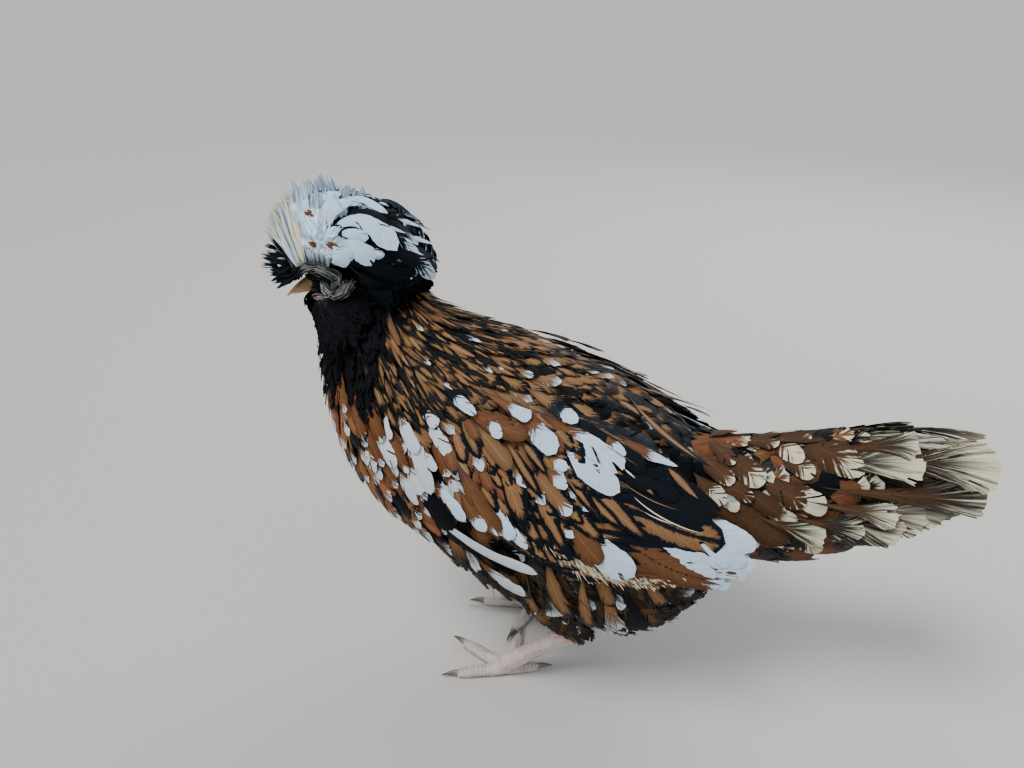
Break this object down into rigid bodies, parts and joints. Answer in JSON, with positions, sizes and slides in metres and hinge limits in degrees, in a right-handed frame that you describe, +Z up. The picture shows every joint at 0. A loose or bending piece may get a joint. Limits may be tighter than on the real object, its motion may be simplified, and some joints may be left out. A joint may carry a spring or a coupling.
{
  "type": "polish crested hen",
  "caption": "Life-size standing hen of a bearded, crested breed, head up and body sloping down to a closed tail.",
  "frame": {"origin": "on the floor, below the middle of the model's box", "axes": "+X from head to tail, +Y to her right, +Z up"},
  "size_m": [0.474, 0.1856, 0.3554],
  "materials": {
    "eye": "wet, glossy",
    "bill": "horn, satin",
    "claw": "horn, satin",
    "leg_scales": "dry scales, satin",
    "crest_feathers": "soft feathers, white and black",
    "face_feathers": "short soft black feathers",
    "face_skin": "bare skin under feathers",
    "hackle_feathers": "narrow buff feathers with black centres",
    "wing_feathers": "smooth brown, black and white feathers",
    "tail_feathers": "smooth brown feathers with white ends",
    "fluff": "loose grey-black down",
    "body_feathers": "mahogany and buff feathers, black and white marks"
  },
  "bodies": {
    "root": {"torso": "body_feathers", "neck": "hackle_feathers", "head": "face_skin", "bill_upper": "bill", "bill_lower": "bill", "crest": "crest_feathers", "beard": "face_feathers", "tail": "tail_feathers", "eye_left": "eye", "muff_left": "face_feathers", "wing_left": "wing_feathers", "thigh_left": "fluff", "shank_left": "leg_scales", "foot_left": "leg_scales", "claw_left_1": "claw", "claw_left_2": "claw", "claw_left_3": "claw", "claw_left_4": "claw", "eye_right": "eye", "muff_right": "face_feathers", "wing_right": "wing_feathers", "thigh_right": "fluff", "shank_right": "leg_scales", "foot_right": "leg_scales", "claw_right_1": "claw", "claw_right_2": "claw", "claw_right_3": "claw", "claw_right_4": "claw"}
  },
  "joints": []
}
